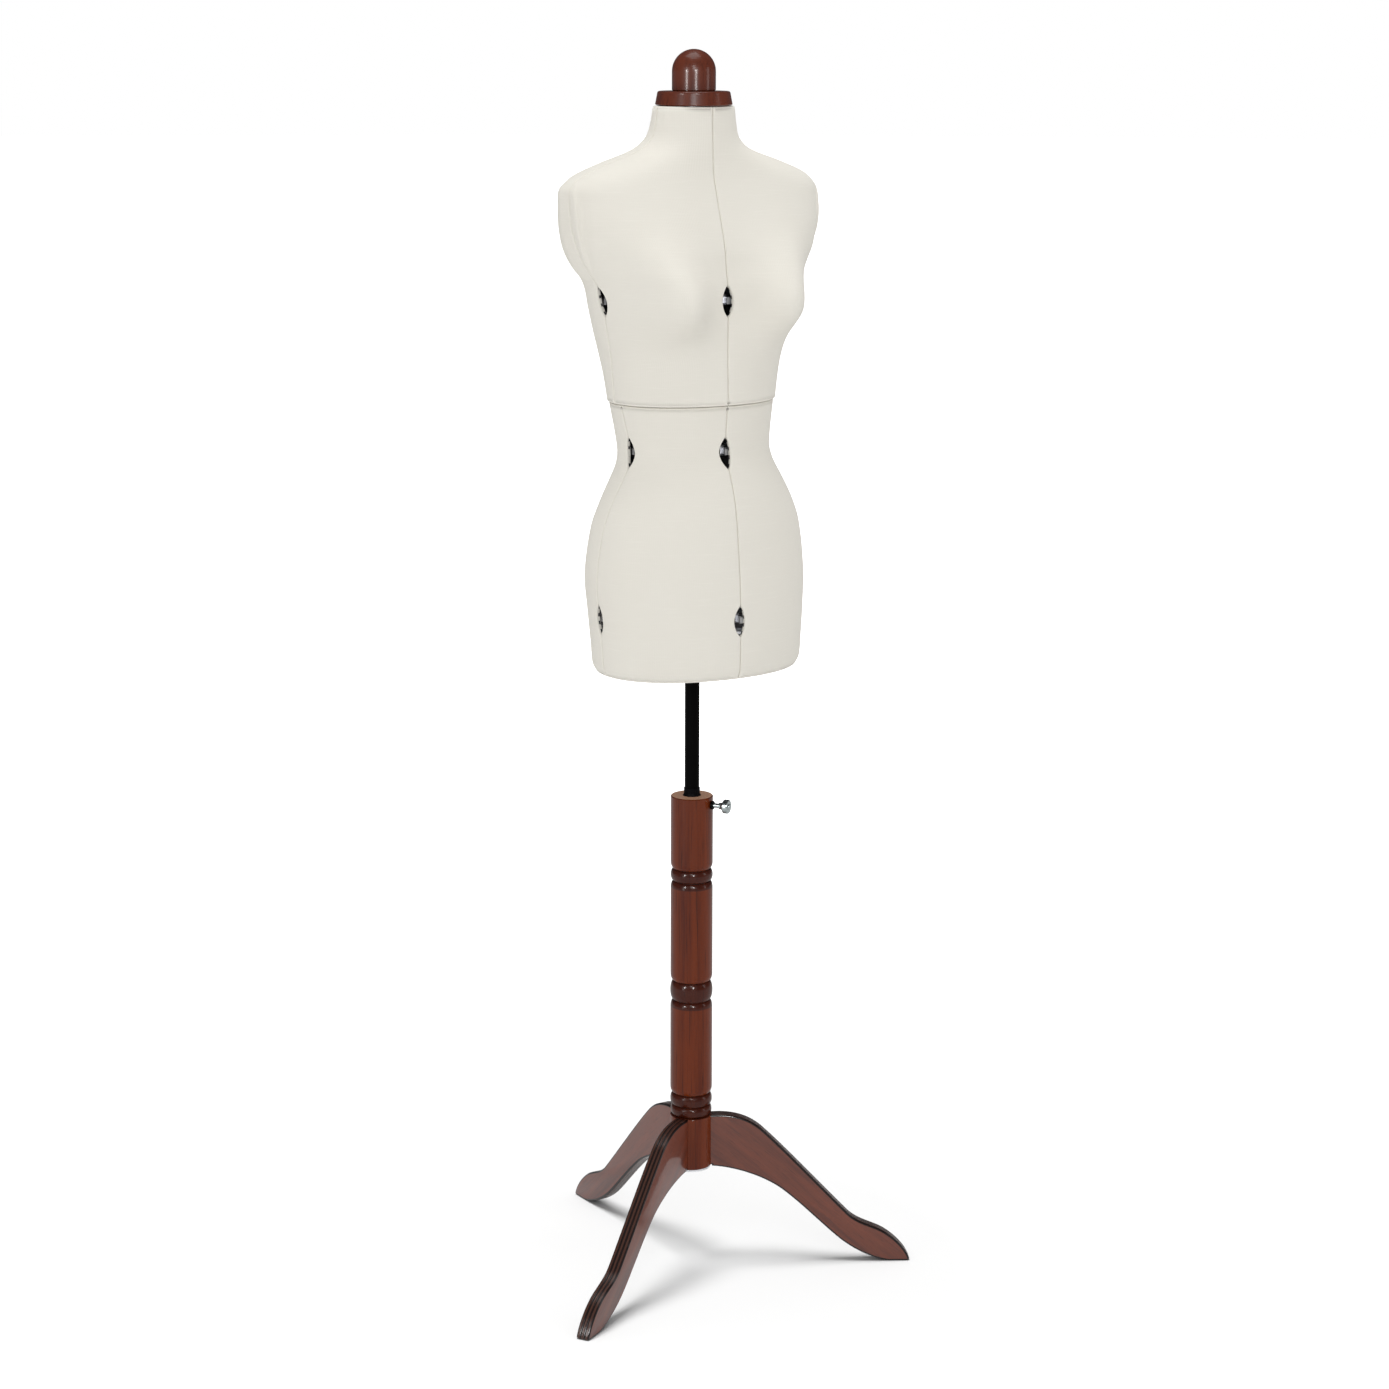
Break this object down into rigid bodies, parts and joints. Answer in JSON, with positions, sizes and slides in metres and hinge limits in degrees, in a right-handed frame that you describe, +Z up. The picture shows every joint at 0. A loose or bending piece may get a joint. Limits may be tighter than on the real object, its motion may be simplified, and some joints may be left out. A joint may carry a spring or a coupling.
{
  "type": "dress form mannequin",
  "caption": "Adjustable dress form: eight-panel torso with thumbwheel adjusters on a sliding, swivelling mast, turned wooden column and three plywood legs.",
  "frame": {"origin": "on the axis of the column and mast, at floor level", "axes": "+Z up, the torso faces -Y, its own left side is +X"},
  "size_m": [0.5164, 0.4473, 1.5903],
  "materials": {
    "turned_wood": "glossy lacquered mahogany colour",
    "plywood": "stained birch plywood with dark edges",
    "zinc_steel": "bright zinc",
    "black_plastic": "moulded",
    "black_paint": "satin black",
    "chrome": "polished",
    "brass": "turned",
    "nylon": "natural",
    "aluminium": "drawn tube",
    "charcoal_plastic": "moulded shell",
    "cream_cloth": "knitted cloth on thin foam"
  },
  "bodies": {
    "stand": {"column": "turned_wood", "leg_front_left": "plywood", "leg_front_right": "plywood", "leg_back": "plywood", "hub_plate": "zinc_steel", "leg_screws": "zinc_steel", "mast_bush": "black_plastic", "lock_insert": "black_paint"},
    "lock_pad": {"lock_pad": "brass"},
    "lock_screw": {"lock_screw": "chrome", "lock_knob": "chrome"},
    "mast": {"mast_tube": "black_paint", "mast_foot": "black_plastic", "mast_collar": "zinc_steel", "swivel_washer": "nylon"},
    "lower_frame": {"lower_tube": "aluminium", "lower_guide_rods": "zinc_steel"},
    "upper_frame": {"upper_sleeve": "aluminium", "upper_guide_rods": "zinc_steel", "neck_spindle": "zinc_steel"},
    "neck_dial": {"neck_flange": "turned_wood", "neck_dome": "turned_wood"},
    "lower_front_left": {"lower_front_left_bracket": "zinc_steel", "lower_front_left_shell": "charcoal_plastic", "lower_front_left_cover": "cream_cloth"},
    "lower_front_right": {"lower_front_right_bracket": "zinc_steel", "lower_front_right_shell": "charcoal_plastic", "lower_front_right_cover": "cream_cloth"},
    "lower_back_left": {"lower_back_left_bracket": "zinc_steel", "lower_back_left_shell": "charcoal_plastic", "lower_back_left_cover": "cream_cloth"},
    "lower_back_right": {"lower_back_right_bracket": "zinc_steel", "lower_back_right_shell": "charcoal_plastic", "lower_back_right_cover": "cream_cloth"},
    "upper_front_left": {"upper_front_left_bracket": "zinc_steel", "upper_front_left_shell": "charcoal_plastic", "upper_front_left_cover": "cream_cloth"},
    "upper_front_right": {"upper_front_right_bracket": "zinc_steel", "upper_front_right_shell": "charcoal_plastic", "upper_front_right_cover": "cream_cloth"},
    "upper_back_left": {"upper_back_left_bracket": "zinc_steel", "upper_back_left_shell": "charcoal_plastic", "upper_back_left_cover": "cream_cloth"},
    "upper_back_right": {"upper_back_right_bracket": "zinc_steel", "upper_back_right_shell": "charcoal_plastic", "upper_back_right_cover": "cream_cloth"},
    "bust_wheel_front": {"bust_wheel_front": "black_plastic"},
    "bust_wheel_left": {"bust_wheel_left": "black_plastic"},
    "bust_wheel_back": {"bust_wheel_back": "black_plastic"},
    "bust_wheel_right": {"bust_wheel_right": "black_plastic"},
    "waist_wheel_front": {"waist_wheel_front": "black_plastic"},
    "waist_wheel_left": {"waist_wheel_left": "black_plastic"},
    "waist_wheel_back": {"waist_wheel_back": "black_plastic"},
    "waist_wheel_right": {"waist_wheel_right": "black_plastic"},
    "hip_wheel_front": {"hip_wheel_front": "black_plastic"},
    "hip_wheel_left": {"hip_wheel_left": "black_plastic"},
    "hip_wheel_back": {"hip_wheel_back": "black_plastic"},
    "hip_wheel_right": {"hip_wheel_right": "black_plastic"}
  },
  "joints": [
    {"name": "mast_height", "type": "slide", "parent": "stand", "child": "mast", "axis": [0, 0, 1], "range_m": [-0.13, 0.22]},
    {"name": "torso_swivel", "type": "hinge", "parent": "mast", "child": "lower_frame", "pos_m": [0, 0, 0.842], "axis": [0, 0, 1], "continuous": true},
    {"name": "back_length", "type": "slide", "parent": "lower_frame", "child": "upper_frame", "axis": [0, 0, 1], "range_m": [0, 0.045]},
    {"name": "neck_dial_turn", "type": "hinge", "parent": "upper_frame", "child": "neck_dial", "pos_m": [0, 0, 1.54], "axis": [0, 0, 1], "range_deg": [0, 325]},
    {"name": "lock_pad_slide", "type": "slide", "parent": "stand", "child": "lock_pad", "axis": [0.5736, -0.8192, 0], "range_m": [0, 0.002]},
    {"name": "lock_screw_turn", "type": "hinge", "parent": "lock_pad", "child": "lock_screw", "pos_m": [0.01721, -0.02457, 0.632], "axis": [0.5736, -0.8192, 0], "range_deg": [0, 721]},
    {"name": "lower_front_left_slide", "type": "slide", "parent": "lower_frame", "child": "lower_front_left", "axis": [0.7071, -0.7071, 0], "range_m": [0, 0.0319]},
    {"name": "lower_front_right_slide", "type": "slide", "parent": "lower_frame", "child": "lower_front_right", "axis": [-0.7071, -0.7071, 0], "range_m": [0, 0.0318]},
    {"name": "lower_back_left_slide", "type": "slide", "parent": "lower_frame", "child": "lower_back_left", "axis": [0.7071, 0.7071, 0], "range_m": [0, 0.0319]},
    {"name": "lower_back_right_slide", "type": "slide", "parent": "lower_frame", "child": "lower_back_right", "axis": [-0.7071, 0.7071, 0], "range_m": [0, 0.0319]},
    {"name": "upper_front_left_slide", "type": "slide", "parent": "upper_frame", "child": "upper_front_left", "axis": [0.7071, -0.7071, 0], "range_m": [0, 0.0319]},
    {"name": "upper_front_right_slide", "type": "slide", "parent": "upper_frame", "child": "upper_front_right", "axis": [-0.7071, -0.7071, 0], "range_m": [0, 0.0318]},
    {"name": "upper_back_left_slide", "type": "slide", "parent": "upper_frame", "child": "upper_back_left", "axis": [0.7071, 0.7071, 0], "range_m": [0, 0.0319]},
    {"name": "upper_back_right_slide", "type": "slide", "parent": "upper_frame", "child": "upper_back_right", "axis": [-0.7071, 0.7071, 0], "range_m": [0, 0.0319]},
    {"name": "bust_wheel_front_turn", "type": "hinge", "parent": "upper_front_right", "child": "bust_wheel_front", "pos_m": [0, -0.0532, 1.286], "axis": [-1, 0, 0], "range_deg": [0, 3241]},
    {"name": "bust_wheel_left_turn", "type": "hinge", "parent": "upper_front_left", "child": "bust_wheel_left", "pos_m": [0.10961, -0.00619, 1.286], "axis": [0, -1, 0], "range_deg": [0, 3241]},
    {"name": "bust_wheel_back_turn", "type": "hinge", "parent": "upper_back_left", "child": "bust_wheel_back", "pos_m": [0, 0.06581, 1.286], "axis": [1, 0, 0], "range_deg": [0, 3241]},
    {"name": "bust_wheel_right_turn", "type": "hinge", "parent": "upper_front_right", "child": "bust_wheel_right", "pos_m": [-0.10961, -0.00619, 1.286], "axis": [0, -1, 0], "range_deg": [0, 3241]},
    {"name": "waist_wheel_front_turn", "type": "hinge", "parent": "lower_front_right", "child": "waist_wheel_front", "pos_m": [0, -0.04969, 1.098], "axis": [-1, 0, 0], "range_deg": [0, 3241]},
    {"name": "waist_wheel_left_turn", "type": "hinge", "parent": "lower_front_left", "child": "waist_wheel_left", "pos_m": [0.07298, -0.01323, 1.098], "axis": [0, -1, 0], "range_deg": [0, 3241]},
    {"name": "waist_wheel_back_turn", "type": "hinge", "parent": "lower_back_left", "child": "waist_wheel_back", "pos_m": [0, 0.04671, 1.098], "axis": [1, 0, 0], "range_deg": [0, 3241]},
    {"name": "waist_wheel_right_turn", "type": "hinge", "parent": "lower_front_right", "child": "waist_wheel_right", "pos_m": [-0.07298, -0.01323, 1.098], "axis": [0, -1, 0], "range_deg": [0, 3241]},
    {"name": "hip_wheel_front_turn", "type": "hinge", "parent": "lower_front_right", "child": "hip_wheel_front", "pos_m": [0, -0.08618, 0.89], "axis": [-1, 0, 0], "range_deg": [0, 3241]},
    {"name": "hip_wheel_left_turn", "type": "hinge", "parent": "lower_front_left", "child": "hip_wheel_left", "pos_m": [0.11677, -0.01038, 0.89], "axis": [0, -1, 0], "range_deg": [0, 3241]},
    {"name": "hip_wheel_back_turn", "type": "hinge", "parent": "lower_back_left", "child": "hip_wheel_back", "pos_m": [0, 0.07022, 0.89], "axis": [1, 0, 0], "range_deg": [0, 3241]},
    {"name": "hip_wheel_right_turn", "type": "hinge", "parent": "lower_front_right", "child": "hip_wheel_right", "pos_m": [-0.11677, -0.01038, 0.89], "axis": [0, -1, 0], "range_deg": [0, 3241]}
  ],
  "couplings": [
    {"joint": "lock_screw_turn", "follows": "lock_pad_slide", "rad_per_m": 6283.2},
    {"joint": "lower_front_left_slide", "follows": "lower_front_right_slide", "ratio": 1},
    {"joint": "lower_back_left_slide", "follows": "lower_front_right_slide", "ratio": 1},
    {"joint": "lower_back_right_slide", "follows": "lower_front_right_slide", "ratio": 1},
    {"joint": "upper_front_left_slide", "follows": "upper_front_right_slide", "ratio": 1},
    {"joint": "upper_back_left_slide", "follows": "upper_front_right_slide", "ratio": 1},
    {"joint": "upper_back_right_slide", "follows": "upper_front_right_slide", "ratio": 1},
    {"joint": "bust_wheel_front_turn", "follows": "upper_front_right_slide", "rad_per_m": 1777.2},
    {"joint": "bust_wheel_left_turn", "follows": "upper_front_right_slide", "rad_per_m": 1777.2},
    {"joint": "bust_wheel_back_turn", "follows": "upper_front_right_slide", "rad_per_m": 1777.2},
    {"joint": "bust_wheel_right_turn", "follows": "upper_front_right_slide", "rad_per_m": 1777.2},
    {"joint": "waist_wheel_front_turn", "follows": "lower_front_right_slide", "rad_per_m": 1777.2},
    {"joint": "waist_wheel_left_turn", "follows": "lower_front_right_slide", "rad_per_m": 1777.2},
    {"joint": "waist_wheel_back_turn", "follows": "lower_front_right_slide", "rad_per_m": 1777.2},
    {"joint": "waist_wheel_right_turn", "follows": "lower_front_right_slide", "rad_per_m": 1777.2},
    {"joint": "hip_wheel_front_turn", "follows": "lower_front_right_slide", "rad_per_m": 1777.2},
    {"joint": "hip_wheel_left_turn", "follows": "lower_front_right_slide", "rad_per_m": 1777.2},
    {"joint": "hip_wheel_back_turn", "follows": "lower_front_right_slide", "rad_per_m": 1777.2},
    {"joint": "hip_wheel_right_turn", "follows": "lower_front_right_slide", "rad_per_m": 1777.2},
    {"joint": "neck_dial_turn", "follows": "upper_front_right_slide", "rad_per_m": 177.72}
  ]
}
